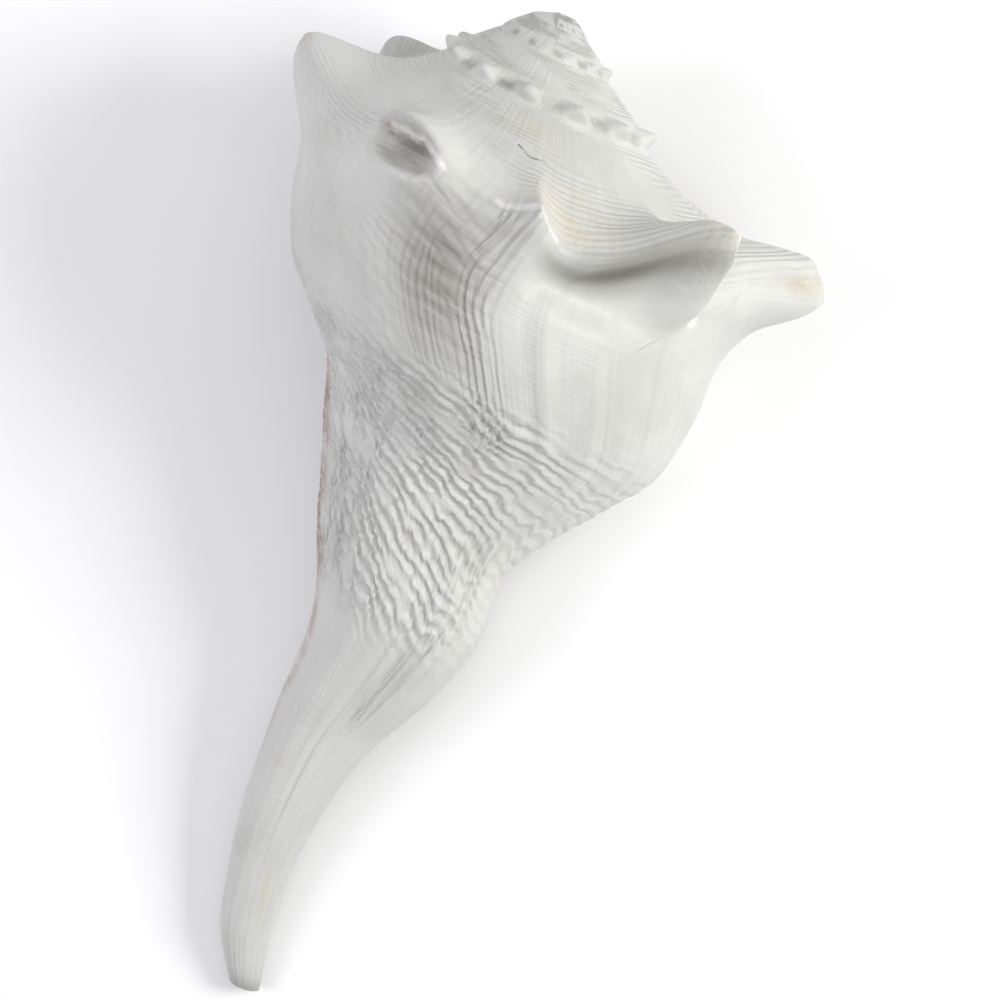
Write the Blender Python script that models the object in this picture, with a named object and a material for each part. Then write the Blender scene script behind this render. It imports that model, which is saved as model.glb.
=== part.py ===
"""Left-handed knobbed whelk shell, built as one closed solid named shell.

The surface follows one rule: a profile from the seam to the canal tip turns round the axis
and shrinks by a fixed factor per turn towards the apex. Sizes are in millimetres until the
last step, which lays the shell on its opening and converts to metres.
"""

import math

import bmesh
import bpy
import numpy as np
from mathutils import Matrix, Vector

# Growth
GROWTH = 2.05          # size factor of one whorl over the one before it
LIP_ANGLE = 115.0      # degrees round the axis from the middle of the back to the lip
SPIRE_TURNS = 2.4      # turns of spire kept above the last whorl's first turn
HOLLOW_TURNS = 0.60    # how far the hollow runs back inside from the lip
SEAM_DEPTH = 45.5      # where one whorl meets the next, below the apex, at the lip
SEAM_RADIUS = 57.2

# Profile stations at the lip, from the seam down to the canal tip:
# name, depth, radius, growth of depth, growth of radius, sideways bend, tuck at the opening
STATIONS = (
    ("suture", SEAM_DEPTH / GROWTH, SEAM_RADIUS / GROWTH, GROWTH, GROWTH, 0.0, 0.0),
    ("ramp", 30.0, 40.0, GROWTH, GROWTH, 0.0, 0.0),
    ("outer_ramp", 37.0, 50.0, GROWTH, GROWTH, 0.0, 0.0),
    ("shoulder", 43.0, 56.0, GROWTH, GROWTH, 0.0, 0.0),
    ("seam", SEAM_DEPTH, SEAM_RADIUS, GROWTH, GROWTH, 0.0, 0.0),
    ("under_shoulder", 51.5, 56.6, 2.05, 1.85, 0.0, 0.16),
    ("upper_body", 60.0, 56.0, 2.05, 1.85, 0.0, 0.20),
    ("body", 73.5, 54.6, 2.04, 1.76, 0.8, 0.22),
    ("lower_body", 87.0, 52.0, 1.99, 1.93, 0.5, 0.15),
    ("belly", 97.5, 43.5, 1.92, 2.01, 0.7, 0.15),
    ("waist", 106.5, 34.0, 1.80, 1.88, 1.6, 0.30),
    ("canal_top", 116.5, 25.2, 1.58, 1.31, 3.1, 0.48),
    ("canal_1", 130.5, 21.4, 1.33, 1.19, 6.5, 0.56),
    ("canal_2", 145.5, 15.0, 1.15, 1.13, 6.9, 0.58),
    ("canal_3", 160.5, 10.5, 1.05, 1.02, 2.6, 0.60),
    ("canal_4", 176.5, 8.1, 1.00, 1.00, 0.4, 0.60),
    ("canal_5", 193.0, 6.2, 1.00, 1.00, 0.3, 0.60),
    ("canal_6", 205.5, 5.3, 1.00, 1.00, 1.9, 0.60),
    ("tip", 216.0, 3.3, 1.00, 1.00, 5.4, 0.60),
)
SHOULDER, SEAM, WAIST = 3, 4, 10
TUCK_START, TUCK_LENGTH = 0.60, 0.40   # turns back from the lip where the tuck sets in

# Spines of the last whorl: angle, outward, upward, width before, width after,
# reach over the ramp, reach below (both as a share of the ramp), bluntness
SPINES = (
    (-205.0, 4.0, 4.0, 13.0, 13.0, 0.55, 0.30, 1.5),
    (-170.0, 5.0, 5.0, 13.0, 13.0, 0.55, 0.30, 1.5),
    (-127.0, 6.0, 7.5, 8.0, 8.0, 0.50, 0.30, 1.8),
    (-91.0, 10.0, 7.0, 9.0, 14.0, 0.36, 0.40, 1.5),
    (-22.0, 4.5, 3.5, 14.0, 14.0, 0.50, 0.30, 2.0),
    (12.0, 5.0, 5.5, 5.0, 5.0, 0.30, 0.22, 1.5),
    (28.0, 0.5, -5.0, 30.0, 26.0, 0.45, 0.60, 2.4),
    (50.0, 9.0, 15.0, 15.0, 5.0, 0.27, 0.20, 1.7),
    (86.0, 12.3, 8.6, 13.0, 11.5, 0.32, 0.28, 2.1),
    (112.0, 7.0, 4.0, 12.0, 12.0, 0.50, 0.35, 1.5),
)
SPINE_FALL = 2.2       # how sharply a spine ends below the shoulder

# Smaller pushes that break a spine off, sharpen the shoulder and hollow it below: angle,
# distance below the shoulder, outward, upward, half width in degrees, half height, bluntness
DENTS = (
    (-22.0, 0.0, 6.0, 2.5, 13.0, 9.0, 5.0),
    (-22.0, 0.6, -8.0, -3.0, 9.0, 5.0, 3.0),
    (0.0, 0.5, 1.6, 0.8, 9.0, 2.2, 2.0),
    (34.0, 8.0, -5.0, 0.0, 20.0, 6.0, 2.2),
    (32.0, 0.5, 2.2, 0.8, 22.0, 2.0, 2.0),
    (84.0, -7.0, 4.2, 1.0, 8.0, 5.0, 3.0),
    (84.0, 3.5, 4.0, -1.5, 6.0, 5.0, 2.6),
)

# Knobs of the spire, just above the seam; sizes at the lip's scale shrink with the whorl
KNOBS_PER_TURN = 13
KNOB_OUT, KNOB_UP = 6.0, 3.0
KNOB_PLACE, KNOB_REACH = 0.84, 0.17    # middle and half height, as shares of the ramp
KNOB_DIP = 0.25                        # depth of the gaps, as a share of a knob
KNOB_ROUNDNESS = 1.5
KNOB_START, KNOB_FADE = -0.95, 0.10    # turn where the spines end and the knobs begin
WORN_TURN, WORN_FADE = -2.35, 0.25     # older knobs than this are worn away
LAST_SPINE_TURN = -1.04

# The blunt top, a little higher and fuller than the rule alone would give
CAP_RISE, CAP_REACH = 2.3, 7.0
CAP_OUT, CAP_MIDDLE = 1.0, 9.0

# Wall of the hollow
WALL_BODY = 2.4
WALL_CANAL = 1.6
WALL_SHARE = 0.30      # the wall never takes more than this share of the canal's radius

# Mesh steps
STEPS_PER_TURN = 65
RAMP_ROWS = 6
BODY_ROWS = 19
ROW_CROWDING = 1.30    # rows crowd towards the shoulder

APEX_RISE = 1.0        # how far the worn cap stands over the first turn's edge
TIP_RISE = 1.0

# How it lies: the direction that points down once the shell rests on its opening
DOWN = (0.0579, 0.9840, -0.1684)
MM = 0.001

COLOUR = (0.70, 0.68, 0.64, 1.0)
ROUGHNESS = 0.62
SHARP_ANGLE = 55.0     # edges sharper than this stay creased in the shading


def station_table():
    """Return the stations' places along the profile, their values and the slopes between."""
    table = np.array([row[1:] for row in STATIONS])
    steps = np.hypot(np.diff(table[:, 0]), np.diff(table[:, 1]))
    places = np.concatenate([[0.0], np.cumsum(steps)])
    length = places[-1]
    places = places / length
    table[:, 2:4] = np.log(table[:, 2:4])
    slopes = np.gradient(table, places, axis=0)
    return places, table, slopes, length


PLACES, TABLE, SLOPES, PROFILE_LENGTH = station_table()


def profile(v):
    """Read the profile's values at v, smoothly between the stations."""
    v = np.clip(v, 0.0, 1.0)
    i = np.clip(np.searchsorted(PLACES, v) - 1, 0, len(PLACES) - 2)
    span = (PLACES[i + 1] - PLACES[i])[..., None]
    t = (v - PLACES[i])[..., None] / span
    ends = (1 + 2 * t) * (1 - t) ** 2 * TABLE[i] + t * t * (3 - 2 * t) * TABLE[i + 1]
    return ends + t * (1 - t) ** 2 * span * SLOPES[i] + t * t * (t - 1) * span * SLOPES[i + 1]


def ease(x):
    """Go smoothly from 0 to 1 as x does."""
    x = np.clip(x, 0.0, 1.0)
    return x * x * (3 - 2 * x)


def spine_lift(angle, v, last_whorl):
    """Return the outward and upward push of the last whorl's spines."""
    shoulder = PLACES[SHOULDER]
    along = (v - shoulder) / shoulder
    out = np.zeros_like(along)
    up = np.zeros_like(along)
    for where, outward, upward, before, after, above, below, blunt in SPINES:
        x = np.where(angle < where, (where - angle) / before, (angle - where) / after)
        down = np.where(along < 0, (along / above) ** 2, np.abs(along / below) ** SPINE_FALL)
        push = np.exp(-(x ** blunt)) * np.exp(-down) * last_whorl
        out = out + outward * push
        up = up + upward * push
    below = (v - shoulder) * PROFILE_LENGTH
    for where, drop, outward, upward, width, height, blunt in DENTS:
        far = np.hypot((angle - where) / width, (below - drop) / height)
        push = np.exp(-(far ** blunt)) * last_whorl
        out = out + outward * push
        up = up + upward * push
    return out, up


def knob_lift(u, angle, v):
    """Return the push of the spire's knobs, zero at the seam so the whorls stay joined."""
    wave = 0.5 + 0.5 * np.cos(np.radians(angle * KNOBS_PER_TURN))
    wave = (1 + KNOB_DIP) * wave ** KNOB_ROUNDNESS - KNOB_DIP
    far = (v / PLACES[SHOULDER] - KNOB_PLACE) / KNOB_REACH
    row = np.clip(1 - far ** 2, 0, 1) ** KNOB_ROUNDNESS
    kept = np.clip((KNOB_START - u) / KNOB_FADE, 0, 1) * np.clip((u - WORN_TURN) / WORN_FADE, 0, 1)
    return GROWTH ** u * wave * row * kept


def pushes(u, v):
    """Return the outward and upward push of spines, dents, knobs and the blunt top together."""
    angle = LIP_ANGLE + 360.0 * u
    out, up = spine_lift(angle, v, u > LAST_SPINE_TURN)
    knob = knob_lift(u, angle, v)
    row = profile(v)
    depth = row[..., 0] * np.exp(row[..., 2] * u)
    cap = CAP_RISE * np.exp(-(depth / CAP_REACH) ** 2)
    swell = CAP_OUT * np.exp(-((depth - CAP_MIDDLE) / CAP_REACH) ** 2)
    return out + KNOB_OUT * knob + swell, up + KNOB_UP * knob + cap


def surface(u, v, outside=True):
    """Return the surface: u in turns back from the lip, v from seam to canal tip.

    The hollow's side leaves the spines out and follows only what is pushed in.
    """
    u, v = np.broadcast_arrays(np.asarray(u, float), np.asarray(v, float))
    row = profile(v)
    out, up = pushes(u, v)
    if not outside:
        out, up = np.minimum(out, 0.0), np.minimum(up, 0.0)
    depth = row[..., 0] * np.exp(row[..., 2] * u) - up
    radius = row[..., 1] * np.exp(row[..., 3] * u)
    radius = radius * (1 - row[..., 5] * ease((-TUCK_START - u) / TUCK_LENGTH)) + out
    turn = np.radians(LIP_ANGLE + 360.0 * u)
    x = radius * np.sin(turn) + row[..., 4]
    y = -radius * np.cos(turn)
    return np.stack([x, y, -depth], axis=-1)


def inner_wall(u, v):
    """Return the hollow's outer side: the smooth surface set in by the wall's thickness."""
    step = 1e-3
    low, high = np.clip(v - step, 0, 1), np.clip(v + step, 0, 1)
    across = surface(u, high, False) - surface(u, low, False)
    along = surface(u + step, v, False) - surface(u - step, v, False)
    normal = np.cross(across, along)
    normal /= np.linalg.norm(normal, axis=-1, keepdims=True)
    row = profile(v)
    wall = np.interp(v, [PLACES[WAIST], 1.0], [WALL_BODY, WALL_CANAL])
    wall = np.minimum(wall, WALL_SHARE * row[..., 1])
    return surface(u, v, False) - normal * wall[..., None]


class Skin:
    """Collects points and faces of the shell's mesh."""

    def __init__(self):
        self.points = []
        self.faces = []

    def add(self, point):
        self.points.append(tuple(point))
        return len(self.points) - 1

    def strip(self, first, second):
        """Join two rows of points of the same length."""
        for a, b, c, d in zip(first, second, second[1:], first[1:]):
            ring = []
            for corner in (a, b, c, d):
                if corner not in ring:
                    ring.append(corner)
            if len(ring) > 2:
                self.faces.append(tuple(ring))

    def fan(self, ring, centre):
        """Close a ring of points round one point."""
        for a, b in zip(ring, ring[1:] + ring[:1]):
            self.faces.append((a, b, centre))

    def zip_rows(self, first, second):
        """Join two rows of different length with triangles."""
        i = j = 0
        while i < len(first) - 1 or j < len(second) - 1:
            ahead = (i + 1) / (len(first) - 1) <= (j + 1) / (len(second) - 1)
            if j == len(second) - 1 or (ahead and i < len(first) - 1):
                face = (first[i], second[j], first[i + 1])
                i += 1
            else:
                face = (first[i], second[j], second[j + 1])
                j += 1
            if len(set(face)) == 3:
                self.faces.append(face)


def profile_rows():
    """Return the places of the mesh rows and the number of the row that lies on the seam."""
    ramp = 1 - np.linspace(1.0, 0.0, RAMP_ROWS + 1) ** ROW_CROWDING
    body = np.linspace(0.0, 1.0, BODY_ROWS + 1)[1:] ** ROW_CROWDING
    below = PLACES[SEAM] + (1 - PLACES[SEAM]) * body
    rows = np.concatenate([PLACES[SHOULDER] * ramp, [PLACES[SEAM]], below])
    return rows, RAMP_ROWS + 1


def build_skin():
    """Return the whole shell as one closed skin, in millimetres with the apex at the top."""
    skin = Skin()
    rows, seam = profile_rows()
    last_row = len(rows) - 1
    spire_steps = int(round(SPIRE_TURNS * STEPS_PER_TURN))
    start = -spire_steps - STEPS_PER_TURN
    turns = np.arange(start, 1) / STEPS_PER_TURN
    points = surface(turns[:, None], rows[None, :])
    grid = np.full((len(turns), len(rows)), -1)
    lip = len(turns) - 1
    for i in range(len(turns)):
        bottom = last_row + 1 if i >= spire_steps else seam
        for j in range(1 if i == lip else 0, bottom):
            grid[i, j] = skin.add(points[i, j])
    # Each spire column ends on the first row of the whorl one turn later
    grid[lip, 0] = grid[spire_steps, seam]
    for i in range(spire_steps):
        grid[i, seam] = grid[i + STEPS_PER_TURN, 0]
    for i in range(lip):
        bottom = last_row if i >= spire_steps else seam
        skin.strip(list(grid[i + 1, :bottom + 1]), list(grid[i, :bottom + 1]))

    # The hollow: the older whorl inside it, then the inner face of the outer wall
    deep = int(round(HOLLOW_TURNS * STEPS_PER_TURN))
    back = -np.arange(deep + 1) / STEPS_PER_TURN
    first = seam + 1
    floor = np.full((deep + 1, len(rows)), -1)
    floor_points = surface(back[:, None] - 1, rows[None, :])
    wall = np.full((deep + 1, len(rows)), -1)
    wall_points = inner_wall(*np.broadcast_arrays(back[:, None], rows[None, :]))
    for i in range(deep + 1):
        for j in range(first, last_row + 1):
            floor[i, j] = grid[spire_steps, j] if i == 0 else skin.add(floor_points[i, j])
        wall[i, 0] = floor[i, first]
        for j in range(1, last_row + 1):
            wall[i, j] = skin.add(wall_points[i, j])
    for i in range(deep):
        skin.strip(list(floor[i, first:]), list(floor[i + 1, first:]))
        skin.strip(list(wall[i + 1, :]), list(wall[i, :]))
    skin.strip(list(wall[0, :]), list(grid[lip, :]))
    skin.zip_rows(list(floor[deep, first:]), list(wall[deep, :]))

    # The canal's end: the wall's edge, then the core beside it
    outer = list(grid[:spire_steps - 1:-1, last_row])
    skin.strip(list(wall[:, last_row]), outer[:deep + 1])
    core = [wall[deep, last_row]] + outer[deep:] + list(floor[1:, last_row])
    middle = np.mean([skin.points[k] for k in core], axis=0)
    skin.fan(core, skin.add(middle + np.array([0.0, 0.0, -TIP_RISE])))

    # The apex: the first turn's inner edge closes round one point
    ring = list(grid[:STEPS_PER_TURN, 0]) + list(grid[0, seam:0:-1])
    middle = np.mean([skin.points[k] for k in ring], axis=0)
    skin.fan(ring, skin.add(middle + np.array([0.0, 0.0, APEX_RISE])))
    return skin


def rest_matrix(points):
    """Turn the shell onto its opening, apex towards +Y, and set it on the ground."""
    down = Vector(DOWN).normalized()
    lay = down.rotation_difference(Vector((0.0, 0.0, -1.0))).to_matrix()
    apex = lay @ Vector((0.0, 0.0, 1.0))
    swing = Matrix.Rotation(math.pi / 2 - math.atan2(apex.y, apex.x), 3, "Z")
    turn = swing @ lay
    placed = np.array(points) @ np.array(turn).T
    low, high = placed.min(axis=0), placed.max(axis=0)
    shift = Vector((-(low[0] + high[0]) / 2, -(low[1] + high[1]) / 2, -low[2]))
    return Matrix.Translation(shift * MM) @ turn.to_4x4() @ Matrix.Scale(MM, 4)


def clear_scene():
    """Remove whatever the scene holds."""
    for old in list(bpy.data.objects):
        bpy.data.objects.remove(old, do_unlink=True)


def shell_material():
    """Return the chalky off-white of an old shell."""
    material = bpy.data.materials.new("shell_white")
    material.use_nodes = True
    shader = material.node_tree.nodes["Principled BSDF"]
    shader.inputs["Base Color"].default_value = COLOUR
    shader.inputs["Roughness"].default_value = ROUGHNESS
    shader.inputs["Metallic"].default_value = 0.0
    return material


def make_shell():
    """Make the object named shell from the skin."""
    skin = build_skin()
    mesh = bpy.data.meshes.new("shell")
    mesh.from_pydata(skin.points, [], skin.faces)
    mesh.transform(rest_matrix(skin.points))
    build = bmesh.new()
    build.from_mesh(mesh)
    bmesh.ops.triangulate(build, faces=build.faces[:], quad_method="SHORT_EDGE")
    build.to_mesh(mesh)
    build.free()
    mesh.materials.append(shell_material())
    mesh.shade_smooth()
    mesh.set_sharp_from_angle(angle=math.radians(SHARP_ANGLE))
    mesh.validate()
    shell = bpy.data.objects.new("shell", mesh)
    bpy.context.scene.collection.objects.link(shell)
    return shell


clear_scene()
make_shell()
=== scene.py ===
# %% [markdown]
# # A left-handed whelk shell
# A shell grows at one edge only, its lip, and every part of it keeps its shape while it gets
# bigger. So the whole form is one rule: a profile is turned round the axis and shrunk by a
# fixed factor per turn. This lesson builds that rule with Geometry Nodes, adds the relief that
# growth leaves on the surface, and gives the shell the chalky look of one found on a beach.

# %% Load the solids
import math

import bpy
import numpy as np
from mathutils import Matrix, Vector


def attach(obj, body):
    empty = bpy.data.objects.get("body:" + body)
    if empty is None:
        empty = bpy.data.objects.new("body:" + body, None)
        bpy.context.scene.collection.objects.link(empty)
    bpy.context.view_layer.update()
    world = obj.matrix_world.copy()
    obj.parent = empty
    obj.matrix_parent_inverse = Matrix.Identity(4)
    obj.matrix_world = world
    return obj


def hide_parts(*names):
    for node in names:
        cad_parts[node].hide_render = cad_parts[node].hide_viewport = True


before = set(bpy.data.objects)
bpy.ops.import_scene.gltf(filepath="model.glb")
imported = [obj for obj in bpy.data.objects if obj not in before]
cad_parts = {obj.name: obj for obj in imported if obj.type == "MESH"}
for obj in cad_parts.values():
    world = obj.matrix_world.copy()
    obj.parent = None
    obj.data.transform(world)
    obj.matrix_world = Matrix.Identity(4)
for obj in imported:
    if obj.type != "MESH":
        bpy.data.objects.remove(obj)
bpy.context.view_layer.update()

# %% [markdown]
# ## Sizes
# All sizes are in millimetres at the lip. A station is a point of the profile, with its depth
# below the apex and its distance from the axis. The spire stations all grow by the same factor,
# but the canal hardly grows at all: that is what makes it a canal and not another whorl.

# %% Named sizes
# Growth
GROWTH = 2.05          # size factor of one whorl over the one before it
LIP_ANGLE = 115.0      # degrees round the axis from the middle of the back to the lip
SPIRE_TURNS = 2.4      # turns of spire kept above the last whorl's first turn
HOLLOW_TURNS = 0.60    # how far the hollow runs back inside from the lip
SEAM_DEPTH = 45.5      # where one whorl meets the next, below the apex, at the lip
SEAM_RADIUS = 57.2

# Profile stations at the lip, from the seam down to the canal tip:
# name, depth, radius, growth of depth, growth of radius, sideways bend, tuck at the opening
STATIONS = (
    ("suture", SEAM_DEPTH / GROWTH, SEAM_RADIUS / GROWTH, GROWTH, GROWTH, 0.0, 0.0),
    ("ramp", 30.0, 40.0, GROWTH, GROWTH, 0.0, 0.0),
    ("outer_ramp", 37.0, 50.0, GROWTH, GROWTH, 0.0, 0.0),
    ("shoulder", 43.0, 56.0, GROWTH, GROWTH, 0.0, 0.0),
    ("seam", SEAM_DEPTH, SEAM_RADIUS, GROWTH, GROWTH, 0.0, 0.0),
    ("under_shoulder", 51.5, 56.6, 2.05, 1.85, 0.0, 0.16),
    ("upper_body", 60.0, 56.0, 2.05, 1.85, 0.0, 0.20),
    ("body", 73.5, 54.6, 2.04, 1.76, 0.8, 0.22),
    ("lower_body", 87.0, 52.0, 1.99, 1.93, 0.5, 0.15),
    ("belly", 97.5, 43.5, 1.92, 2.01, 0.7, 0.15),
    ("waist", 106.5, 34.0, 1.80, 1.88, 1.6, 0.30),
    ("canal_top", 116.5, 25.2, 1.58, 1.31, 3.1, 0.48),
    ("canal_1", 130.5, 21.4, 1.33, 1.19, 6.5, 0.56),
    ("canal_2", 145.5, 15.0, 1.15, 1.13, 6.9, 0.58),
    ("canal_3", 160.5, 10.5, 1.05, 1.02, 2.6, 0.60),
    ("canal_4", 176.5, 8.1, 1.00, 1.00, 0.4, 0.60),
    ("canal_5", 193.0, 6.2, 1.00, 1.00, 0.3, 0.60),
    ("canal_6", 205.5, 5.3, 1.00, 1.00, 1.9, 0.60),
    ("tip", 216.0, 3.3, 1.00, 1.00, 5.4, 0.60),
)
SHOULDER, SEAM, UPPER_BODY, LOWER_BODY, WAIST = 3, 4, 6, 8, 10
CANAL_1, CANAL_2, TIP = 12, 13, 18
TUCK_START, TUCK_LENGTH = 0.60, 0.40   # turns back from the lip where the tuck sets in

# Spines of the last whorl: angle, outward, upward, width before, width after,
# reach over the ramp, reach below (both as a share of the ramp), bluntness
SPINES = (
    (-205.0, 4.0, 4.0, 13.0, 13.0, 0.55, 0.30, 1.5),
    (-170.0, 5.0, 5.0, 13.0, 13.0, 0.55, 0.30, 1.5),
    (-127.0, 6.0, 7.5, 8.0, 8.0, 0.50, 0.30, 1.8),
    (-91.0, 10.0, 7.0, 9.0, 14.0, 0.36, 0.40, 1.5),
    (-22.0, 4.5, 3.5, 14.0, 14.0, 0.50, 0.30, 2.0),
    (12.0, 5.0, 5.5, 5.0, 5.0, 0.30, 0.22, 1.5),
    (28.0, 0.5, -5.0, 30.0, 26.0, 0.45, 0.60, 2.4),
    (50.0, 9.0, 15.0, 15.0, 5.0, 0.27, 0.20, 1.7),
    (86.0, 12.3, 8.6, 13.0, 11.5, 0.32, 0.28, 2.1),
    (112.0, 7.0, 4.0, 12.0, 12.0, 0.50, 0.35, 1.5),
)
SPINE_FALL = 2.2       # how sharply a spine ends below the shoulder

# Smaller pushes that break a spine off, sharpen the shoulder and hollow it below: angle,
# distance below the shoulder, outward, upward, half width in degrees, half height, bluntness
DENTS = (
    (-22.0, -0.5, 6.0, 2.5, 12.5, 9.0, 4.5),
    (-23.2, 1.4, -9.3, -3.5, 9.5, 5.4, 4.5),
    (0.0, 0.5, 1.6, 0.8, 9.0, 2.2, 2.0),
    (34.0, 8.0, -5.0, 0.0, 20.0, 6.0, 2.2),
    (32.0, 0.5, 2.2, 0.8, 22.0, 2.0, 2.0),
    (53.0, 4.0, 5.0, 0.0, 7.0, 6.0, 3.0),
    (77.0, 0.0, -2.5, -1.0, 4.5, 6.0, 3.0),
    (84.0, -7.0, 4.2, 1.0, 8.0, 5.0, 3.0),
    (84.0, 3.5, 4.0, -1.5, 6.0, 5.0, 2.6),
)

# Knobs of the spire, just above the seam; sizes at the lip's scale shrink with the whorl
KNOBS_PER_TURN = 13
KNOB_OUT, KNOB_UP = 6.0, 3.0
KNOB_PLACE, KNOB_REACH = 0.84, 0.17    # middle and half height, as shares of the ramp
KNOB_DIP = 0.25                        # depth of the gaps, as a share of a knob
KNOB_ROUNDNESS = 1.5
KNOB_START, KNOB_FADE = -0.95, 0.10    # turn where the spines end and the knobs begin
WORN_TURN, WORN_FADE = -2.35, 0.25     # older knobs than this are worn away
LAST_SPINE_TURN = -1.04

# The blunt top, a little higher and fuller than the rule alone would give
CAP_RISE, CAP_REACH = 2.3, 7.0
CAP_OUT, CAP_MIDDLE = 1.0, 9.0

# Wall of the hollow
WALL_BODY = 2.4
WALL_CANAL = 1.6
WALL_SHARE = 0.30      # the wall never takes more than this share of the canal's radius

# Mesh steps of the fine skin: columns in a turn, rows of the ramp, then rows between stations
STEPS_PER_TURN = 340
COLUMN_CROWDING, CROWDED_TURN = 0.40, -0.31    # columns crowd towards the broken spines
RAMP_ROWS = 26
FINE_ROWS = ((SEAM, UPPER_BODY, 16), (UPPER_BODY, LOWER_BODY, 14), (LOWER_BODY, CANAL_2, 60),
             (CANAL_2, TIP, 18))
INNER_STRIDE = 3       # the hollow needs fewer columns than the outside
ROW_CROWDING = 1.30    # rows crowd towards the shoulder

# Steps of the plain solid, which set where the shell lies
SOLID_STEPS, SOLID_RAMP, SOLID_BODY = 65, 6, 19

APEX_RISE = 1.0        # how far the worn cap stands over the first turn's edge
TIP_RISE = 1.0         # how far the canal's end stands out of its rim
DOWN = (0.0579, 0.9840, -0.1684)    # what faces the ground at rest, in the growing shell's frame
MM = 0.001
GLAZE_FADE = 0.08      # turns behind the lip in which the inside's glaze sets in
SEED = 0.0             # moves the patterns of wear along the coil; another value, another shell
print("profile has", len(STATIONS), "stations and the last whorl", len(SPINES), "pushes")

# %% [markdown]
# ## The profile
# Between the stations the profile is read with smooth curves. Spines are local pushes on the
# shoulder, outward and upward, that die away on both sides. The knobs of the spire are what is
# left of older spines, and they vanish exactly at the seam, so that the whorls stay joined.

# %% Profile, spines and the surface rule
def station_table():
    """Return the stations' places along the profile, their values and the slopes between."""
    table = np.array([row[1:] for row in STATIONS])
    steps = np.hypot(np.diff(table[:, 0]), np.diff(table[:, 1]))
    places = np.concatenate([[0.0], np.cumsum(steps)])
    length = places[-1]
    places = places / length
    table[:, 2:4] = np.log(table[:, 2:4])
    slopes = np.gradient(table, places, axis=0)
    return places, table, slopes, length


PLACES, TABLE, SLOPES, PROFILE_LENGTH = station_table()


def profile(v):
    """Read the profile's values at v, smoothly between the stations."""
    v = np.clip(v, 0.0, 1.0)
    i = np.clip(np.searchsorted(PLACES, v) - 1, 0, len(PLACES) - 2)
    span = (PLACES[i + 1] - PLACES[i])[..., None]
    t = (v - PLACES[i])[..., None] / span
    ends = (1 + 2 * t) * (1 - t) ** 2 * TABLE[i] + t * t * (3 - 2 * t) * TABLE[i + 1]
    return ends + t * (1 - t) ** 2 * span * SLOPES[i] + t * t * (t - 1) * span * SLOPES[i + 1]


def ease(x):
    """Go smoothly from 0 to 1 as x does."""
    x = np.clip(x, 0.0, 1.0)
    return x * x * (3 - 2 * x)


def spine_lift(angle, v, last_whorl):
    """Return the outward and upward push of the last whorl's spines."""
    shoulder = PLACES[SHOULDER]
    along = (v - shoulder) / shoulder
    out = np.zeros_like(along)
    up = np.zeros_like(along)
    for where, outward, upward, before, after, above, below, blunt in SPINES:
        x = np.where(angle < where, (where - angle) / before, (angle - where) / after)
        down = np.where(along < 0, (along / above) ** 2, np.abs(along / below) ** SPINE_FALL)
        push = np.exp(-(x ** blunt)) * np.exp(-down) * last_whorl
        out = out + outward * push
        up = up + upward * push
    below = (v - shoulder) * PROFILE_LENGTH
    for where, drop, outward, upward, width, height, blunt in DENTS:
        far = np.hypot((angle - where) / width, (below - drop) / height)
        push = np.exp(-(far ** blunt)) * last_whorl
        out = out + outward * push
        up = up + upward * push
    return out, up


def knob_lift(u, angle, v):
    """Return the push of the spire's knobs, zero at the seam so the whorls stay joined."""
    wave = 0.5 + 0.5 * np.cos(np.radians(angle * KNOBS_PER_TURN))
    wave = (1 + KNOB_DIP) * wave ** KNOB_ROUNDNESS - KNOB_DIP
    far = (v / PLACES[SHOULDER] - KNOB_PLACE) / KNOB_REACH
    row = np.clip(1 - far ** 2, 0, 1) ** KNOB_ROUNDNESS
    kept = np.clip((KNOB_START - u) / KNOB_FADE, 0, 1) * np.clip((u - WORN_TURN) / WORN_FADE, 0, 1)
    return GROWTH ** u * wave * row * kept


def pushes(u, v):
    """Return the outward and upward push of spines, dents, knobs and the blunt top together."""
    angle = LIP_ANGLE + 360.0 * u
    out, up = spine_lift(angle, v, u > LAST_SPINE_TURN)
    knob = knob_lift(u, angle, v)
    row = profile(v)
    depth = row[..., 0] * np.exp(row[..., 2] * u)
    cap = CAP_RISE * np.exp(-(depth / CAP_REACH) ** 2)
    swell = CAP_OUT * np.exp(-((depth - CAP_MIDDLE) / CAP_REACH) ** 2)
    return out + KNOB_OUT * knob + swell, up + KNOB_UP * knob + cap


def surface(u, v, outside=True):
    """Return the surface: u in turns back from the lip, v from seam to canal tip.

    The hollow's side leaves the spines out and follows only what is pushed in.
    """
    u, v = np.broadcast_arrays(np.asarray(u, float), np.asarray(v, float))
    row = profile(v)
    out, up = pushes(u, v)
    if not outside:
        out, up = np.minimum(out, 0.0), np.minimum(up, 0.0)
    depth = row[..., 0] * np.exp(row[..., 2] * u) - up
    radius = row[..., 1] * np.exp(row[..., 3] * u)
    radius = radius * (1 - row[..., 5] * ease((-TUCK_START - u) / TUCK_LENGTH)) + out
    turn = np.radians(LIP_ANGLE + 360.0 * u)
    x = radius * np.sin(turn) + row[..., 4]
    y = -radius * np.cos(turn)
    return np.stack([x, y, -depth], axis=-1)


def inner_wall_inset(u, v):
    """Return the step from the outer surface in to the hollow's outer side."""
    step = 1e-3
    low, high = np.clip(v - step, 0, 1), np.clip(v + step, 0, 1)
    across = surface(u, high, False) - surface(u, low, False)
    along = surface(u + step, v, False) - surface(u - step, v, False)
    normal = np.cross(across, along)
    normal /= np.linalg.norm(normal, axis=-1, keepdims=True)
    row = profile(v)
    wall = np.interp(v, [PLACES[WAIST], 1.0], [WALL_BODY, WALL_CANAL])
    wall = np.minimum(wall, WALL_SHARE * row[..., 1])
    return surface(u, v, False) - surface(u, v) - normal * wall[..., None]


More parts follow.
